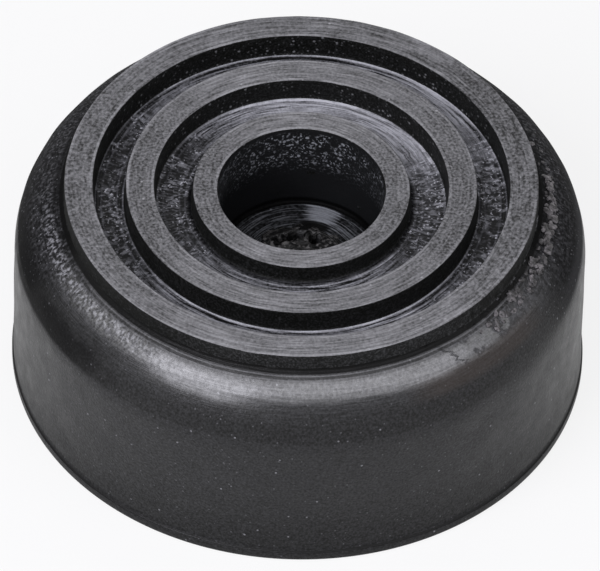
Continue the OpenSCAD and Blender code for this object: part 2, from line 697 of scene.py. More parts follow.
class RibSideRubber(Rubber):
    """Dark drafted sides of the ribs, with a dusting of light specks."""

    name = "rib_side_rubber"
    dark = (0.0016, 0.0017, 0.0013)
    light = (0.15, 0.152, 0.156)
    roughness = 0.6
    specular = 0.13
    depth = 0.03 * MM

    def tone(self) -> Number:
        """Faint grain, scattered specks, thicker towards the back, and a greyer outer face in front.

        Returns:
            The tone.
        """
        grain = self.grain(size=0.14 * MM, seed=7.0).rise(0.4, 0.75)
        specks = self.specks(spacing=0.5 * MM, radius=0.12 * MM, share=0.6, seed=8.0)
        dust = self.specks(spacing=0.3 * MM, radius=0.09 * MM, share=0.6, seed=28.0)
        behind = self.north.rise(0.0, 0.7) * 0.8 + 0.08
        face_r = self.moulding.outer_rib.outer_r - self.moulding.rib_edge_r
        on_outer = self.radius.rise(face_r, face_r + 0.1 * MM)
        front = self.towards(45.0).rise(0.1, 0.5) + self.towards(70.0).rise(0.4, 1.0) * 0.5
        return grain * 0.08 + (specks + dust * 0.4) * behind + on_outer * front * (0.03 + grain * 0.12)

    def relief(self) -> Number:
        """Grain."""
        return self.grain(size=0.2 * MM, seed=7.0)


class SkinRubber(Rubber):
    """Satin shoulder and side wall: polished crown in front, coarse-grained left and peeling right, with
    painted light and shade.
    """

    name = "skin_rubber"
    light = (0.3, 0.3, 0.314)
    warm: Colour = (0.045, 0.034, 0.028)
    roughness = 0.4
    specular = 0.25
    depth = 0.035 * MM

    @cached_property
    def slope(self) -> Number:
        """Angle up the shoulder's round in degrees: 0 where it meets the wall."""
        centre = self.moulding.shoulder
        return self.degrees(self.z - centre.y, self.radius - centre.x)

    @cached_property
    def crown(self) -> Number:
        """The crown beside the outer rib, with a streaky lower edge."""
        ragged = self.slope + self.streaks(width=0.3 * MM, reach=0.22, seed=25.0) * 8.0
        return ragged.rise(42.5, 53.5)

    @cached_property
    def upper(self) -> Number:
        """The half of the shoulder's round that is nearer to the ribs."""
        middle_z = self.moulding.shoulder.y
        return self.z.rise(middle_z, middle_z + 1.0 * MM)

    @cached_property
    def foot(self) -> Number:
        """Painted shade at the foot of the outer rib: black, and partly dull."""
        foot_r = self.moulding.fillet.x
        return self.upper * self.radius.rise(foot_r + 0.04 * MM, foot_r - 0.04 * MM)

    @cached_property
    def crease(self) -> Number:
        """The shaded strip of the crown beside that foot."""
        foot_r = self.moulding.fillet.x
        return self.upper * self.radius.rise(foot_r + 0.6 * MM, foot_r + 0.26 * MM)

    @cached_property
    def sides(self) -> Number:
        """The left, the right and the back, where the mould was never polished."""
        return self.turn.rise(-50.0, -76.0) + self.turn.rise(58.0, 78.0)

    @cached_property
    def fine(self) -> Number:
        """Fine grain all over."""
        return self.grain(size=0.16 * MM, seed=9.0, detail=2.0).widen(3.6)

    @cached_property
    def lumps(self) -> Number:
        """Coarse marks of flow."""
        return self.barbs(width=0.2 * MM, reach=0.42 * MM, seed=22.0, detail=2.0)

    @cached_property
    def turning(self) -> Number:
        """Marks of turning."""
        return self.streaks(width=0.09 * MM, reach=0.1, seed=23.0)

    @cached_property
    def coarse_grain_and_sheen(self) -> Number:
        """Strength of the coarse grain: heavy at the front left of the crown, its pale lumps partly a
        painted highlight, faint at the sides.
        """
        left = self.turn.band(-72.0, -46.0, 22.0) * self.slope.rise(43.0, 53.0)
        return (left + self.sides * self.slope.rise(20.0, 56.0) * 0.3).less(self.crease, 0.7)

    @cached_property
    def peeled(self) -> Number:
        """The front right of the crown: a crack, and ragged patches where the skin has come off.

        Returns:
            The mask.
        """
        ragged = self.turn + self.grain(size=0.9 * MM, seed=24.0, detail=2.0) * 50.0 - 25.0
        patches = ragged.rise(47.0, 51.0) * self.turn.rise(94.0, 64.0)
        wander = self.turn + self.slope * 0.25 + self.along(self.slope / 3.5, seed=45.0, detail=2.0) * 9.0
        crack = wander.band(54.7, 55.1, 0.35)
        return (patches + crack) * self.slope.rise(40.0, 45.0)

    @cached_property
    def chips(self) -> Number:
        """Loose chips in the peeled patches."""
        return self.grain(size=0.4 * MM, seed=43.0, detail=2.0).rise(0.46, 0.58) * self.peeled

    @cached_property
    def painted_dark_patch(self) -> Number:
        """Painted shade: a smooth black patch below the crown at the left, in place of a dark reflection.

        Returns:
            The mask.
        """
        ragged = self.grain(size=1.2 * MM, seed=27.0) * 10.0 - 5.0
        turns = (self.turn + ragged).band(-78.0, -56.0, 22.0)
        return turns * self.slope.rise(7.0, 12.0) * (self.slope + ragged).rise(46.0, 24.0)

    @cached_property
    def rings(self) -> Number:
        """Fine rings where the outer rib rises from the crown, in front."""
        front = self.upper * self.towards(5.0).rise(0.25, 0.7)
        return front * self.ripples(self.moulding.fillet.x + 0.1 * MM, pitch=0.26 * MM, reach=0.5 * MM)

    def powder(self) -> Number:
        """Specks of three sizes, the finer ones thicker at the unpolished sides.

        Returns:
            Their tone.
        """
        more = self.sides * self.slope.rise(5.0, 15.0) * 0.3
        specks = self.specks(spacing=0.95 * MM, radius=0.1 * MM, share=0.5, seed=10.0)
        grit = self.specks(spacing=0.5 * MM, radius=0.08 * MM, share=0.6, seed=20.0)
        dust = self.specks(spacing=0.3 * MM, radius=0.06 * MM, share=0.7, seed=19.0)
        return specks * 0.55 + grit * (more + 0.2) + dust * (more + 0.08)

    def bloom(self) -> Number:
        """Grey bloom of the wall's face, fading towards its foot."""
        top_z = self.moulding.shoulder.y + 1.0 * MM
        return self.z.rise(top_z + 0.15 * MM, top_z - 0.05 * MM) * self.z.rise(0.0, 8.0 * MM) * 0.021

    def marks(self) -> Number:
        """Grain, marks of turning, coarse marks and chips, each where the mould left it; on the crown
        partly painted highlight.

        Returns:
            Their tone.
        """
        sides = self.sides * self.slope.rise(5.0, 15.0)
        # On the crown the grain is paler, partly a painted highlight of its polish.
        grain = self.fine * (0.06 - sides * 0.036) + (self.crown * self.fine).less(sides) * 0.09
        turning = self.turning.rise(0.4, 0.66) * self.slope.rise(20.0, 45.0) * (0.07 - sides * 0.03)
        lumps = self.lumps.rise(0.43, 0.7) * self.coarse_grain_and_sheen * 0.7
        return grain + turning + lumps + self.chips * 0.14

    def painted_plates_and_scuffs(self) -> Number:
        """Paler plate-like patches of the crown at the front right, a painted highlight, and the scuffed
        band below it at the right.

        Returns:
            Their tone.
        """
        # The patches stand for the crown's highlight, painted paler where its polish would shine.
        highlight_plates = self.turn.band(36.0, 60.0, 8.0) + self.turn.band(40.0, 48.0, 4.0) * 0.8
        right = self.turn.rise(66.0, 78.0) * self.turn.rise(165.0, 115.0)
        return self.crown * highlight_plates * 0.07 + right * self.slope.band(12.0, 22.0, 10.0) * 0.08

    def tone(self) -> Number:
        """Every mark of the skin; darker in peeled patches, and painted shade in the crease, dark patch,
        lip line and foot.

        Returns:
            The tone.
        """
        lip_z = self.moulding.lip_h
        # Painted shade: a dark line just above the lip's ledge.
        painted_lip_shade = self.z.band(lip_z + 0.02 * MM, lip_z + 0.12 * MM, 0.05 * MM)
        tone = (self.marks() + self.powder() + self.bloom() + self.painted_plates_and_scuffs()).less(self.crease, 0.4)
        tone = tone.less(self.painted_dark_patch, 0.75).less(self.peeled, 0.4)
        # The outer rib's foot is blackened as painted shade.
        return (tone + self.rings * 0.2 - painted_lip_shade * 0.12).less(self.foot)

    def colour(self) -> bpy.types.NodeSocket:
        """Base colour, with a faint brownish patch below the crown at the front right."""
        patch = self.turn.band(34.0, 54.0, 12.0) * self.slope.band(34.0, 41.0, 7.0)
        return self.blend(patch * 0.45, super().colour(), self.warm)

    def relief(self) -> Number:
        """Grain, coarse marks, chips, marks of turning and rings.

        Returns:
            The relief.
        """
        grain = self.grain(size=0.14 * MM, seed=9.0) * 0.6
        turning = self.turning * self.slope.rise(20.0, 45.0) * 0.7
        return grain + self.lumps * self.coarse_grain_and_sheen * 2.0 + self.chips * 1.5 + turning + self.rings * 0.6

    def sheen(self) -> Number:
        """Polish of the crown in front, mottled towards the left.

        Returns:
            Weight of the coat.
        """
        front = self.turn.band(-58.0, 64.0, 24.0).less(self.turn.band(-28.0, -12.0, 14.0), 0.38)
        blob = self.turn.band(-28.0, -16.0, 14.0) * self.slope.rise(32.0, 40.0) * 0.41
        edge = (1.0 - self.crease * 0.8 + self.rings * 0.2).less(self.foot)
        flow = self.barbs(width=0.22 * MM, reach=0.42 * MM, seed=26.0, detail=2.0)
        mottled = flow.rise(0.6, 0.4) * (self.turn.rise(-24.0, -44.0) * 0.52 + 0.32)
        streaks = self.streaks(width=0.09 * MM, reach=0.2, seed=36.0).rise(0.6, 0.4) * 0.26
        polished = (self.crown * front).at_least(blob) * edge * (1.29 - mottled - streaks)
        return polished.less(self.peeled, 0.9)

    def matt(self) -> Number:
        """The unpolished sides of the shoulder, the painted dark patch, the shaded foot, and partly the
        foot of the wall.

        Returns:
            The dull share.
        """
        sides = self.sides * self.slope.rise(11.0, 18.0) * 0.85
        low = self.z.rise(6.0 * MM, 1.0 * MM) * 0.3
        return (sides + low).at_least(self.painted_dark_patch * 0.7).at_least(self.foot * 0.6)


class SeatRubber(Rubber):
    """Black counterbore, speckled near its mouth, and the swirled seat at its bottom, with painted
    highlights and painted shade.
    """

    name = "seat_rubber"
    dark = (0.002, 0.002, 0.002)
    light = (0.24, 0.25, 0.268)
    roughness = 0.42

    @cached_property
    def seat(self) -> Number:
        """Mask of the seat, with the fillet round it."""
        seat_z = self.moulding.seat_z
        return self.z.rise(seat_z + 0.5 * MM, seat_z + 0.2 * MM)

    @cached_property
    def edge(self) -> Number:
        """Mask of the dull strip between the seat's last ring and the bore wall."""
        bore_r = self.moulding.bore_r
        return self.radius.rise(bore_r - 0.45 * MM, bore_r - 0.2 * MM)

    def floor(self) -> Number:
        """Swirl of the seat, with painted highlights at the back, and a dark split of painted shade where
        the skin tore over it.

        Returns:
            The tone.
        """
        # Painted highlights of the turned seat: a bright patch, and paler swirl lines towards the back
        # right.
        around = self.towards(162.0) + self.swirl * 0.07 - 0.035
        patch = around.rise(0.955, 0.996) * self.radius.rise(3.7 * MM, 4.3 * MM)
        painted_fan_highlight = self.towards(148.0).rise(0.9, 1.0) * 0.3
        lines = self.swirl.rise(0.5, 0.62) * (patch * 1.7 + painted_fan_highlight + 0.34)
        specks = self.specks(spacing=0.6 * MM, radius=0.1 * MM, share=0.3, seed=44.0) * 0.6
        haze = self.grain(size=0.25 * MM, seed=46.0, detail=2.0).rise(0.4, 0.7) * 0.13
        # Painted shade: the split darkens the seat under the edge of the tear.
        split = self.towards(164.0).rise(0.94, 0.98) * self.radius.rise(4.0 * MM, 3.6 * MM)
        return (lines + patch * 0.75 + specks + haze).less(split)

    def wall(self) -> Number:
        """Flecks near the mouth, thickest at the back.

        Returns:
            The tone.
        """
        mouth_z = self.moulding.inner_rib.top_z
        below = self.z.rise(mouth_z - 4.4 * MM, mouth_z - 1.6 * MM)
        near_mouth = below * self.z.rise(mouth_z - 0.2 * MM, mouth_z - 0.8 * MM)
        back = self.towards(-165.0) * 0.7 + 0.36
        clumps = self.grain(size=0.8 * MM, seed=42.0).rise(0.3, 0.62) * back
        pits = self.grain(size=0.17 * MM, seed=14.0, detail=2.0).rise(0.52, 0.68) * 1.35
        specks = self.specks(spacing=0.5 * MM, radius=0.13 * MM, share=0.3, seed=18.0) * 2.2
        dust = self.specks(spacing=0.31 * MM, radius=0.08 * MM, share=0.6, seed=39.0)
        return near_mouth * clumps * (pits + specks + dust) + 0.032

    def tone(self) -> Number:
        """The seat's swirl and the wall's flecks."""
        return self.floor().less(self.edge).over(self.wall(), self.seat)

    def relief(self) -> Number:
        """Swirl ridges and pits."""
        return self.swirl * 0.4 + self.grain(size=0.2 * MM, seed=14.0) * 0.5

    def matt(self) -> Number:
        """The lower part of the wall and the dull strip round the seat.

        Returns:
            The dull share.
        """
        mouth_z = self.moulding.inner_rib.top_z
        low = self.z.rise(mouth_z - 2.0 * MM, mouth_z - 4.0 * MM) * 0.85
        return (self.edge * 0.9).over(low, self.seat)


class TornRubber(Rubber):
    """Rough rubber where the moulding skin tore."""

    name = "torn_rubber"
    light = (0.3, 0.29, 0.282)

    @cached_property
    def painted_pit_shade(self) -> Number:
        """Mask of the bottom of the tear and the pit, where shade is painted black."""
        seat_z = self.moulding.seat_z
        return self.z.rise(seat_z - 0.35 * MM, seat_z - 0.6 * MM)

    def tone(self) -> Number:
        """Swirl, blotches and specks, and painted shade that turns the bottom black.

        Returns:
            The tone.
        """
        front = self.y.rise(2.7 * MM, 1.4 * MM)
        swirl = self.swirl.rise(0.5, 0.62) * (0.2 - front * 0.12)
        blotches = self.grain(size=0.28 * MM, seed=31.0, detail=1.5).rise(0.5, 0.72)
        blotches *= front * 0.36 + 0.08
        specks = self.specks(spacing=0.6 * MM, radius=0.1 * MM, share=0.3, seed=44.0) * 0.4
        return (swirl + blotches + specks).less(self.painted_pit_shade)

    def relief(self) -> Number:
        """Grain."""
        return self.grain(size=0.16 * MM, seed=33.0)

    def matt(self) -> Number:
        """The dull bottom of the tear and the pit."""
        return self.painted_pit_shade * 0.95


class FlakeRubber(Rubber):
    """Pale flakes of the moulding skin."""

    name = "flake_rubber"
    dark = (0.02, 0.019, 0.019)
    light = (0.27, 0.252, 0.258)
    roughness = 0.42
    specular = 0.35
    depth = 0.02 * MM

    def tone(self) -> Number:
        """Blotches."""
        patches = self.grain(size=0.5 * MM, seed=41.0).rise(0.36, 0.62) * 0.55 + 0.07
        return self.grain(size=0.26 * MM, seed=34.0).rise(0.3, 0.6) * patches

    def relief(self) -> Number:
        """Grain."""
        return self.grain(size=0.12 * MM, seed=35.0)


# The foot


class Zone(Enum):
    """Part of the foot's surface with a finish of its own."""

    SKIN = SkinRubber
    RIB_TOP = RibTopRubber
    RIB_SIDE = RibSideRubber
    GROOVE = GrooveRubber
    SEAT = SeatRubber


@dataclass
class Outline:
    """Pen that draws a turned section from lines with rounded corners, and arcs."""

    stops: list[tuple[Vector, int, float]] = field(default_factory=list)

    def line(self, r: float, z: float, rings: int, corner_r: float = 0.0) -> None:
        """Draws a straight stretch to (r, z) in that many steps, with a round of corner_r at its end."""
        self.stops.append((Vector((r, z)), rings, corner_r))

    def arc(self, centre: Vector, radius: float, start: float, end: float, rings: int) -> None:
        """Draws an arc, which starts where the pen is.

        Args:
            centre: Centre of the arc, as (r, z).
            radius: Its radius.
            start: Angle at its start, in radians.
            end: Angle at its end.
            rings: Number of steps that it is drawn in.
        """
        for step in range(1, rings + 1):
            angle = start + (end - start) * step / rings
            place = centre + radius * Vector((math.cos(angle), math.sin(angle)))
            self.line(place.x, place.y, rings=1)

    def points(self) -> list[Vector]:
        """The drawn outline with its corners rounded.

        Returns:
            Points (r, z) in order.
        """
        drawn: list[Vector] = []
        pen = self.stops[0][0]
        for index, (place, rings, corner_r) in enumerate(self.stops):
            rounding = [place]
            if corner_r > 0:
                rounding = self._round(pen, place, self.stops[index + 1][0], corner_r)
            drawn += [pen.lerp(rounding[0], step / rings) for step in range(1, rings + 1)]
            drawn += rounding[1:]
            pen = drawn[-1]
        return drawn

    @staticmethod
    def _round(before: Vector, at: Vector, after: Vector, radius: float, steps: int = 4) -> list[Vector]:
        """Rounds a corner.

        Args:
            before: Point before the corner.
            at: The corner.
            after: Point after the corner.
            radius: Radius of the round.
            steps: Number of steps along it.

        Returns:
            Points from one end of the round to the other.
        """
        back, ahead = (before - at).normalized(), (after - at).normalized()
        half = back.angle(ahead) / 2
        centre = at + (back + ahead).normalized() * radius / math.sin(half)
        start = at + back * radius / math.tan(half) - centre
        end = at + ahead * radius / math.tan(half) - centre
        points = []
        for step in range(steps + 1):
            angle = -start.angle_signed(end) * step / steps
            cos, sin = math.cos(angle), math.sin(angle)
            points.append(centre + Vector((start.x * cos - start.y * sin, start.x * sin + start.y * cos)))
        return points


@dataclass(frozen=True)
class Rib:
    """Concentric grip rib, and the number of steps that its section is drawn in."""

    inner_r: float
    outer_r: float
    top_z: float
    side_rings: int
    top_rings: int


@dataclass
class RubberFoot:
    """The moulding: its section's sizes, and the turning, wear and dressing of its surface."""

    radius: float
    height: float
    hole_r: float
    bore_r: float
    seat_z: float
    lip_h: float = 0.7 * MM
    lip_proud: float = 0.08 * MM
    base_edge_r: float = 0.2 * MM
    shoulder_r: float = 5.4 * MM
    shoulder_drop: float = 0.8 * MM
    shoulder_fillet_r: float = 0.25 * MM
    rim_w: float = 3.25 * MM
    outer_rib_w: float = 1.95 * MM
    middle_rib_w: float = 1.95 * MM
    inner_rib_w: float = 1.7 * MM
    inner_groove_share: float = 0.54
    groove_depth: float = 1.75 * MM
    middle_rib_drop: float = 0.1 * MM
    inner_rib_drop: float = 0.45 * MM
    rib_draft: float = math.radians(2.0)
    rib_edge_r: float = 0.12 * MM
    groove_fillet_r: float = 0.25 * MM
    steps_round: int = 400
    sectors: int = 16

    def __post_init__(self) -> None:
        """Works out the ribs, the grooves and the shoulder from the sizes."""
        self.wall_r = self.radius - self.lip_proud
        self.groove_z = self.height - self.groove_depth
        rim_r = self.wall_r - self.rim_w
        outer_r = rim_r - self.outer_rib_w
        inner_r = self.bore_r + self.inner_rib_w
        free_w = outer_r - inner_r - self.middle_rib_w
        middle_r = inner_r + free_w * self.inner_groove_share
        middle_z = self.height - self.middle_rib_drop
        inner_z = self.height - self.inner_rib_drop
        self.inner_rib = Rib(self.bore_r, inner_r, inner_z, side_rings=5, top_rings=7)
        self.middle_rib = Rib(middle_r, middle_r + self.middle_rib_w, middle_z, side_rings=6, top_rings=8)
        self.outer_rib = Rib(outer_r, rim_r, self.height, side_rings=4, top_rings=8)
        self.ribs = (self.inner_rib, self.middle_rib, self.outer_rib)
        self.shoulder, self.fillet = self._crown()

    def _crown(self) -> tuple[Vector, Vector]:
        """Centres of the shoulder's arc and of the fillet between it and the outer rib.

        Returns:
            The shoulder's centre and the fillet's centre, as (r, z).
        """
        shoulder_z = self.height - self.shoulder_drop - self.shoulder_r
        shoulder = Vector((self.wall_r - self.shoulder_r, shoulder_z))
        normal = Vector((math.cos(self.rib_draft), math.sin(self.rib_draft)))
        down = Vector((math.sin(self.rib_draft), -math.cos(self.rib_draft)))
        start = Vector((self.outer_rib.outer_r, self.height)) + normal * self.shoulder_fillet_r - shoulder
        along = start.dot(down)
        reach = self.shoulder_r + self.shoulder_fillet_r
        drop = -along - math.sqrt(along * along - start.dot(start) + reach * reach)
        return shoulder, shoulder + start + down * drop

    def spread(self, rib: Rib) -> float:
        """How far a rib's drafted side spreads down to the groove."""
        return (rib.top_z - self.groove_z) * math.tan(self.rib_draft)

    def section(self) -> list[Vector]:
        """The closed outline that the foot is turned from.

        Returns:
            Points (r, z), counterclockwise from the bottom of the screw hole.
        """
        rise = math.atan2(self.fillet.y - self.shoulder.y, self.fillet.x - self.shoulder.x)
        outline = Outline()
        outline.line(self.hole_r, 0.0, rings=1)
        outline.line(self.radius, 0.0, rings=10, corner_r=self.base_edge_r)
        outline.line(self.radius, self.lip_h, rings=2, corner_r=self.lip_proud / 2)
        outline.line(self.wall_r, self.lip_h, rings=1)
        outline.line(self.wall_r, self.shoulder.y, rings=16)
        outline.arc(self.shoulder, self.shoulder_r, 0.0, rise, rings=40)
        start, end = rise - math.pi, self.rib_draft - math.pi
        outline.arc(self.fillet, self.shoulder_fillet_r, start, end, rings=4)
        self._rib(outline, self.outer_rib)
        for outside, rib in ((self.outer_rib, self.middle_rib), (self.middle_rib, self.inner_rib)):
            start_r = outside.inner_r - self.spread(outside)
            end_r = rib.outer_r + self.spread(rib)
            outline.line(start_r, self.groove_z, rings=6, corner_r=self.groove_fillet_r)
            outline.line(end_r, self.groove_z, rings=12, corner_r=self.groove_fillet_r)
            self._rib(outline, rib)
        outline.line(self.bore_r, self.seat_z, rings=20, corner_r=self.groove_fillet_r)
        outline.line(self.hole_r, self.seat_z, rings=12)
        outline.line(self.hole_r, 0.0, rings=6)
        return outline.points()

    def _rib(self, outline: Outline, rib: Rib) -> None:
        """Draws a rib's side and top, from its outer foot to its inner edge."""
        outline.line(rib.outer_r, rib.top_z, rib.side_rings, self.rib_edge_r)
        outline.line(rib.inner_r, rib.top_z, rib.top_rings, self.rib_edge_r)

    def build(self) -> bpy.types.Object:
        """Turns the section into the foot's closed surface and wears it.

        Returns:
            The finished piece.
        """
        outline = self.section()
        deselect_all()
        first = outline[0]
        bpy.ops.mesh.primitive_plane_add(size=MM, location=(first.x, 0.0, first.y))
        foot = bpy.context.active_object
        foot.name = "foot_body"
        bpy.ops.object.transform_apply(location=True)
        bpy.ops.object.mode_set(mode="EDIT")
        bpy.ops.mesh.merge(type="CENTER")
        for here, there in zip(outline, outline[1:]):
            step = there - here
            bpy.ops.mesh.extrude_vertices_move(TRANSFORM_OT_translate={"value": (step.x, 0.0, step.y)})
        bpy.ops.mesh.select_all(action="SELECT")
        bpy.ops.mesh.remove_doubles(threshold=WELD)
        # One sector is turned and then doubled until it closes, so the sectors are a power of two.
        span = math.tau / self.sectors
        steps = self.steps_round // self.sectors
        bpy.ops.mesh.spin(steps=steps, angle=span, center=(0, 0, 0), axis=(0, 0, 1))
        for _ in range(int(math.log2(self.sectors))):
            bpy.ops.mesh.select_all(action="SELECT")
            bpy.ops.mesh.duplicate()
            bpy.ops.transform.rotate(value=span, orient_axis="Z", center_override=(0, 0, 0))
            span *= 2
        bpy.ops.mesh.select_all(action="SELECT")
        bpy.ops.mesh.remove_doubles(threshold=WELD)
        bpy.ops.mesh.normals_make_consistent(inside=False)
        bpy.ops.object.mode_set(mode="OBJECT")
        bpy.ops.object.shade_smooth()
        wear(foot, "sole", self._sole_weight, size=2.2 * MM, depth=0.07 * MM)
        wear(foot, "pitted", self._pitted_weight, size=0.45 * MM, depth=0.14 * MM)
        wear(foot, "flaky", self._flaky_weight, size=0.5 * MM, depth=0.16 * MM)
        apply_modifiers(foot)
        return foot

    def _sole_weight(self, place: Vector) -> float:
        """Full above the lip, none on the mounting face."""
        return ramp(place.z, self.lip_h + 0.3 * MM, self.lip_h + 2.0 * MM)

    def _pitted_weight(self, place: Vector) -> float:
        """Full on the middle of the groove floors, at the left and right.

        Args:
            place: A place on the turned surface.

        Returns:
            The weight.
        """
        r = place.xy.length
        grooves = zip(self.ribs, self.ribs[1:])
        inset = max(min(r - inner.outer_r, outer.inner_r - r) for inner, outer in grooves)
        middle = ramp(inset, self.groove_fillet_r, 3 * self.groove_fillet_r)
        low = ramp(place.z, self.groove_z + 0.3 * MM, self.groove_z + 0.1 * MM)
        return middle * low * ramp(abs(place.x) / r, 0.6, 0.85)

    def _flaky_weight(self, place: Vector) -> float:
        """Full on the crown at the right, nearly half at the left.

        Args:
            place: A place on the turned surface.

        Returns:
            The weight.
        """
        r = place.xy.length
        if r < self.outer_rib.outer_r:
            return 0.0
        slope = math.degrees(math.atan2(place.z - self.shoulder.y, r - self.shoulder.x))
        turn = math.degrees(math.atan2(place.x, -place.y))
        right = ramp(turn, 34.0, 50.0) * ramp(turn, 115.0, 90.0)
        left = ramp(turn, -45.0, -65.0) * 0.45
        return (right + left) * ramp(slope, 40.0, 50.0)

    def zone(self, face: bmesh.types.BMFace) -> Zone:
        """Finds the zone that a face lies in, from its place and normal.

        Args:
            face: A face of the turned surface.

        Returns:
            Its zone.
        """
        place = face.calc_center_median()
        r = place.xy.length
        worn_seat_z = self.seat_z - 0.15 * MM
        crown_top_z = self.fillet.y - 0.02 * MM
        worn_bore_r = self.bore_r + 0.05 * MM
        mouth_z = self.inner_rib.top_z - self.rib_edge_r
        half_way_z = self.groove_z + 0.7 * MM
        flattest_side = 0.6
        if place.z < worn_seat_z or (r > self.outer_rib.outer_r and place.z < crown_top_z):
            return Zone.SKIN
        if r < worn_bore_r and place.z < mouth_z:
            return Zone.SEAT
        if face.normal.z < flattest_side:
            return Zone.RIB_SIDE
        return Zone.RIB_TOP if place.z > half_way_z else Zone.GROOVE

    def dress(self, foot: bpy.types.Object) -> None:
        """Gives every face the finish of its zone.

        Args:
            foot: The turned piece.
        """
        order = list(Zone)
        for zone in order:
            foot.data.materials.append(zone.value(self).build())
        mesh = bmesh.new()
        mesh.from_mesh(foot.data)
        for face in mesh.faces:
            face.material_index = order.index(self.zone(face))
        mesh.to_mesh(foot.data)
        mesh.free()

    def crown_place(self, turn: float, slope: float, sink: float) -> tuple[Vector, Vector]:
        """Finds a place on the shoulder.

        Args:
            turn: Angle round the axis in degrees, 0 at the front.
            slope: Angle up the shoulder's round, in degrees.
            sink: Depth below the surface.

        Returns:
            The place and the outward normal there.
        """
        east, south = math.sin(math.radians(turn)), math.cos(math.radians(turn))
        flat, up = math.cos(math.radians(slope)), math.sin(math.radians(slope))
        r = self.shoulder.x + (self.shoulder_r - sink) * flat
        z = self.shoulder.y + (self.shoulder_r - sink) * up
        return Vector((r * east, -r * south, z)), Vector((flat * east, -flat * south, up))


@dataclass
class TornSkin:
    """Crumpled skin of rubber over the screw hole, with a jagged tear and a pit."""

    moulding: RubberFoot
    reach: float = 3.25 * MM
    ragged: float = 0.55 * MM
    ragged_size: float = 0.7 * MM
    thickness: float = 0.2 * MM
    cells: int = 80
    tear_mm: tuple[tuple[float, float], ...] = (
        (-1.5, 1.7),
        (-0.86, 2.0),
        (0.0, 2.5),
        (0.53, 3.15),
        (1.5, 3.7),
    )
    tear_w: float = 0.3 * MM
    pit_mm: tuple[float, float] = (1.06, 2.05)
    pit_r: float = 0.46 * MM
    jag: float = 0.2 * MM
    jag_size: float = 0.3 * MM
    edge: float = 0.1 * MM
    depth: float = 1.3 * MM
    rise: float = 0.02 * MM
    swell: float = 0.08 * MM
    crumple: float = 0.14 * MM
    lump_size: float = 0.8 * MM
    crease_size: float = 0.33 * MM
    curl: float = 0.16 * MM
    sag: float = 0.3 * MM
    seed_place: Vector = field(default_factory=lambda: Vector((3.1, 7.7, 1.9)))

    def tear_distance(self, place: Vector) -> float:
        """Distance from a place to the tear's route.

        Args:
            place: The place.

        Returns:
            The distance, seen from above.
        """
        flat = place.xy
        route = [Vector(point) * MM for point in self.tear_mm]
        distances = []
        for start, end in zip(route, route[1:]):
            span = end - start
            share = ramp((flat - start).dot(span) / span.length_squared, 0.0, 1.0)
            distances.append((flat - start - span * share).length)
        return min(distances)

    def opening(self, place: Vector) -> float:
        """How far a place lies in from the jagged edge of the tear or the pit.

        Args:
            place: The place.

        Returns:
            The distance, negative outside them.
        """
        jag = noise.noise(place / self.jag_size - self.seed_place) * self.jag
        pit = (place.xy - Vector(self.pit_mm) * MM).length
        return jag + max(self.pit_r - pit, self.tear_w - self.tear_distance(place))

    def keeps(self, place: Vector) -> bool:
        """Tells whether the skin covers a place. Over the hole it goes on under the tear and the pit.

        Args:
            place: The place.

        Returns:
            True if it does.
        """
        lump = noise.noise(place / self.ragged_size + self.seed_place)
        reach = place.xy.length
        whole = self.opening(place) < 0.0 or reach < self.moulding.hole_r - self.edge
        return whole and reach < self.reach + lump * self.ragged

    def lift(self, place: Vector) -> float:
        """How far the skin is crumpled up at a place, or sunk in the tear and the pit.

        Args:
            place: The place on the flat skin.

        Returns:
            The height, negative where it is sunk.
        """
        lumps = noise.noise(place / self.lump_size + self.seed_place)
        lumps += 0.5 * noise.noise(place / self.crease_size)
        curl = ramp(self.tear_distance(place), 0.6 * MM, 0.1 * MM)
        reach = place.xy.length
        hole_r = self.moulding.hole_r
        flush = ramp(reach, self.reach, 0.7 * self.reach)
        sunk = ramp(self.opening(place), 0.0, self.edge) * ramp(reach, hole_r, hole_r - self.edge)
        lift = self.rise + (self.swell + self.crumple * lumps + self.curl * curl) * flush
        return lift - self.sag * ramp(reach, hole_r, 0.0) - self.depth * sunk

    def build(self) -> bpy.types.Object:
        """Cuts the skin from a fine grid, crumples it and gives it its thickness.

        Returns:
            The finished piece.
        """
        deselect_all()
        side = 2 * (self.reach + self.ragged)
        place = (0, 0, self.moulding.seat_z)
        bpy.ops.mesh.primitive_grid_add(
            x_subdivisions=self.cells, y_subdivisions=self.cells, size=side, location=place
        )
        skin = bpy.context.active_object
        skin.name = "torn_skin"
        bpy.ops.object.transform_apply(location=True)
        bpy.ops.object.mode_set(mode="EDIT")
        bpy.ops.mesh.select_all(action="DESELECT")
        mesh = bmesh.from_edit_mesh(skin.data)
        for face in mesh.faces:
            face.select_set(not self.keeps(face.calc_center_median()))
        bmesh.update_edit_mesh(skin.data)
        bpy.ops.mesh.delete(type="FACE")
        bpy.ops.object.mode_set(mode="OBJECT")
        for vertex in skin.data.vertices:
            vertex.co.z += self.lift(vertex.co)
        solid = skin.modifiers.new("thickness", "SOLIDIFY")
        solid.thickness = self.thickness
        solid.offset = 0.0
        smooth = skin.modifiers.new("soften", "SUBSURF")
        smooth.levels = smooth.render_levels = 1
        apply_modifiers(skin)
        bpy.ops.object.shade_smooth()
        return skin

    def dress(self, skin: bpy.types.Object) -> None:
        """Gives the skin its finish."""
        skin.data.materials.append(TornRubber(self.moulding).build())


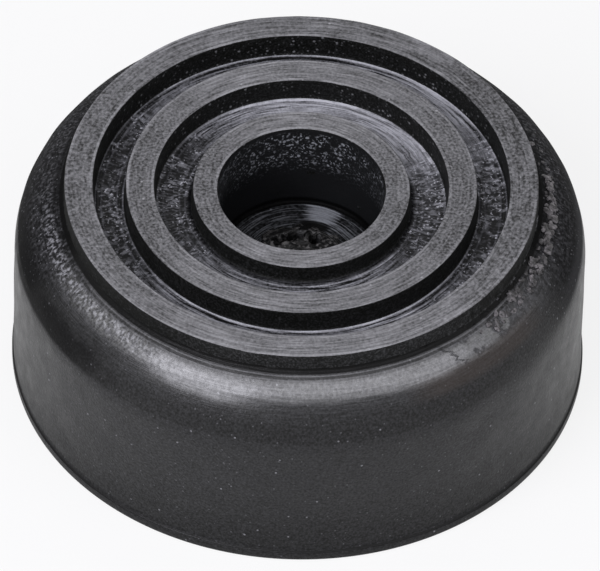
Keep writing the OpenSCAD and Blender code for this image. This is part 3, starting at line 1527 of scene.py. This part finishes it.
@dataclass
class Flakes:
    """Loose flakes of the moulding skin that cling to the right of the shoulder."""

    moulding: RubberFoot
    count: int = 120
    turns: tuple[float, float] = (44.0, 118.0)
    thickest: float = 72.0
    slopes: tuple[float, float] = (51.0, 61.0)
    sizes: tuple[float, float, float] = (0.07 * MM, 0.28 * MM, 0.12 * MM)
    stretches: tuple[float, float] = (0.8, 1.9)
    least_thickness: float = 0.08 * MM
    flatness: tuple[float, float] = (0.2, 0.4)
    sink: float = 0.1 * MM
    crush: float = 0.55
    dents: float = 1.3
    shift: float = 9.0
    seed: int = 7

    def build(self) -> bpy.types.Object:
        """Scatters the flakes, each a small crushed ball that is half sunk in the shoulder.

        Returns:
            The finished piece, all flakes joined.
        """
        chance = random.Random(self.seed)
        deselect_all()
        bpy.ops.mesh.primitive_ico_sphere_add(subdivisions=2, radius=1.0)
        model = bpy.context.active_object
        flakes = [self._flake(model, chance) for _ in range(self.count)]
        bpy.data.objects.remove(model)
        deselect_all()
        for flake in flakes:
            flake.select_set(True)
        bpy.context.view_layer.objects.active = flakes[0]
        bpy.ops.object.transform_apply(location=True, rotation=True, scale=True)
        bpy.ops.object.join()
        cluster = bpy.context.active_object
        cluster.name = "shoulder_flakes"
        return cluster

    def _flake(self, model: bpy.types.Object, chance: random.Random) -> bpy.types.Object:
        """Copies the model flake to a random place on the shoulder and crushes it.

        Args:
            model: The ball that flakes are copied from.
            chance: Source of the random draws.

        Returns:
            The flake.
        """
        flake = model.copy()
        flake.data = model.data.copy()
        bpy.context.collection.objects.link(flake)
        turn = chance.triangular(*self.turns, self.thickest)
        slope = chance.uniform(*self.slopes)
        place, normal = self.moulding.crown_place(turn, slope, self.sink)
        spin = Quaternion((0.0, 0.0, 1.0), chance.uniform(0.0, math.tau))
        flake.rotation_mode = "QUATERNION"
        flake.rotation_quaternion = normal.to_track_quat("Z", "Y") @ spin
        flake.location = place
        size = chance.triangular(*self.sizes)
        length = size * chance.uniform(*self.stretches)
        flake.scale = (length, size, self.least_thickness + size * chance.uniform(*self.flatness))
        shift = Vector([chance.uniform(-self.shift, self.shift) for _ in range(3)])
        for vertex in flake.data.vertices:
            vertex.co *= 1.0 + self.crush * noise.noise(vertex.co * self.dents + shift)
        return flake

    def dress(self, cluster: bpy.types.Object) -> None:
        """Gives the flakes their finish."""
        cluster.data.materials.append(FlakeRubber(self.moulding).build())


# Studio


@dataclass(frozen=True)
class SoftBox:
    """Rectangular soft light that faces the foot."""

    name: str
    azimuth: float
    elevation: float
    distance: float
    width: float
    depth: float
    radiance: float
    tint: Colour = (0.92, 0.915, 1.0)

    def place(self, target: Vector) -> None:
        """Adds the light.

        Args:
            target: Point that it faces.
        """
        azimuth, elevation = math.radians(self.azimuth), math.radians(self.elevation)
        flat, up = math.cos(elevation), math.sin(elevation)
        towards = Vector((math.sin(azimuth) * flat, -math.cos(azimuth) * flat, up))
        bpy.ops.object.light_add(type="AREA", location=target + towards * self.distance)
        lamp = bpy.context.active_object
        lamp.name = self.name
        lamp.data.shape = "RECTANGLE"
        lamp.data.size = self.width
        lamp.data.size_y = self.depth
        lamp.data.color = self.tint
        lamp.data.energy = self.radiance * self.width * self.depth * math.pi
        lamp.rotation_euler = towards.to_track_quat("Z", "Y").to_euler()
        lamp.visible_camera = False


BOXES = (
    SoftBox("key_box", azimuth=-41.0, elevation=42.0, distance=0.5, width=0.28, depth=0.26, radiance=6.5),
    SoftBox("strip_box", azimuth=0.0, elevation=60.0, distance=0.5, width=1.3, depth=0.34, radiance=1.9),
    SoftBox("back_box", azimuth=180.0, elevation=50.0, distance=0.6, width=0.5, depth=0.3, radiance=1.0),
)


@dataclass
class Studio:
    """White floor, soft light and the long-lens camera."""

    target: Vector
    floor_size: float = 6.0
    floor_gap: float = 0.02 * MM
    floor_white: float = 0.8
    glow: float = 0.82
    sky: float = 0.15
    camera_distance: float = 1.0
    camera_elevation: float = math.radians(46.3)
    camera_roll: float = math.radians(1.5)
    pixels_per_metre: float = 15080.0
    sensor: float = 36.0
    clip_end: float = 10.0

    def build(self) -> None:
        """Builds the floor, the sky, the lights and the camera."""
        self._floor()
        self._sky()
        for box in BOXES:
            box.place(self.target)
        self._camera()

    def _floor(self) -> None:
        """Adds the white floor under the foot. It keeps the foot's shadow and is clear from below."""
        deselect_all()
        bpy.ops.mesh.primitive_plane_add(size=self.floor_size, location=(0, 0, -self.floor_gap))
        floor = bpy.context.active_object
        floor.name = "floor"
        white = bpy.data.materials.new("floor_white")
        white.use_nodes = True
        graph = Graph(white.node_tree)
        paper = graph.add("ShaderNodeBsdfDiffuse", inputs={"Color": (*(self.floor_white,) * 3, 1.0)})
        glow = graph.add("ShaderNodeEmission", inputs={"Strength": 1.0})
        lit = graph.mixed(graph.plain_view() * self.glow, paper, glow)
        clear = graph.add("ShaderNodeBsdfTransparent")
        under = graph.add("ShaderNodeNewGeometry").outputs["Backfacing"]
        sheet = graph.mixed(under, lit, clear)
        graph.add("ShaderNodeOutputMaterial", inputs={"Surface": sheet.outputs[0]})
        floor.data.materials.append(white)

    def _sky(self) -> None:
        """Makes the world white behind the floor and a soft fill for the rest."""
        world = bpy.data.worlds.new("studio")
        bpy.context.scene.world = world
        world.use_nodes = True
        graph = Graph(world.node_tree)
        strength = graph.plain_view() * (1.0 - self.sky) + self.sky
        inputs = {"Color": (1.0, 1.0, 1.0, 1.0), "Strength": strength}
        sky = graph.add("ShaderNodeBackground", inputs=inputs)
        graph.add("ShaderNodeOutputWorld", inputs={"Surface": sky.outputs[0]})

    def _camera(self) -> None:
        """Adds the camera, which looks down on the sole from the front."""
        back = Vector((0.0, -math.cos(self.camera_elevation), math.sin(self.camera_elevation)))
        bpy.ops.object.camera_add(location=self.target + back * self.camera_distance)
        camera = bpy.context.active_object
        camera.name = "camera"
        roll = Quaternion((0.0, 0.0, 1.0), self.camera_roll)
        camera.rotation_mode = "QUATERNION"
        camera.rotation_quaternion = (-back).to_track_quat("-Z", "Y") @ roll
        camera.data.sensor_width = self.sensor
        camera.data.lens = self.sensor * self.pixels_per_metre * self.camera_distance / IMAGE_W
        camera.data.clip_end = self.clip_end
        bpy.context.scene.camera = camera


# The whole scene


def mount(name: str) -> dict[str, float]:
    """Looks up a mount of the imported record.

    Args:
        name: Name of the mount.

    Returns:
        Its sizes, in millimetres, by name.
    """
    return next(row["dims"] for row in frame["record"]["mounts"] if row["name"] == name)


def place_piece(piece: bpy.types.Object) -> None:
    """Ties a finished piece to the foot's one body, and logs its number of faces.

    Args:
        piece: The piece.
    """
    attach(piece, BODY)
    LOG.info("%s: %d faces", piece.name, len(piece.data.polygons))


def main() -> None:
    """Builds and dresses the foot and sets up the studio."""
    logging.basicConfig(level=logging.INFO, format="%(name)s: %(message)s")
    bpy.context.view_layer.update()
    low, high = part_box(NODE)
    hole = mount("screw_hole")
    moulding = RubberFoot(
        radius=min(-low.x, -low.y, high.x, high.y),
        height=high.z,
        hole_r=hole["r_mm"] * MM,
        bore_r=mount("counterbore")["r_mm"] * MM,
        seat_z=hole["length_mm"] * MM,
    )
    foot = moulding.build()
    moulding.dress(foot)
    place_piece(foot)
    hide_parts(NODE)
    for detail in (TornSkin(moulding), Flakes(moulding)):
        piece = detail.build()
        detail.dress(piece)
        place_piece(piece)
    Studio(target=Vector((0.07 * MM, 0.0, 6.32 * MM))).build()
    bpy.context.scene.view_settings.view_transform = "Standard"
    bpy.context.view_layer.update()


if __name__ == "__main__":
    main()
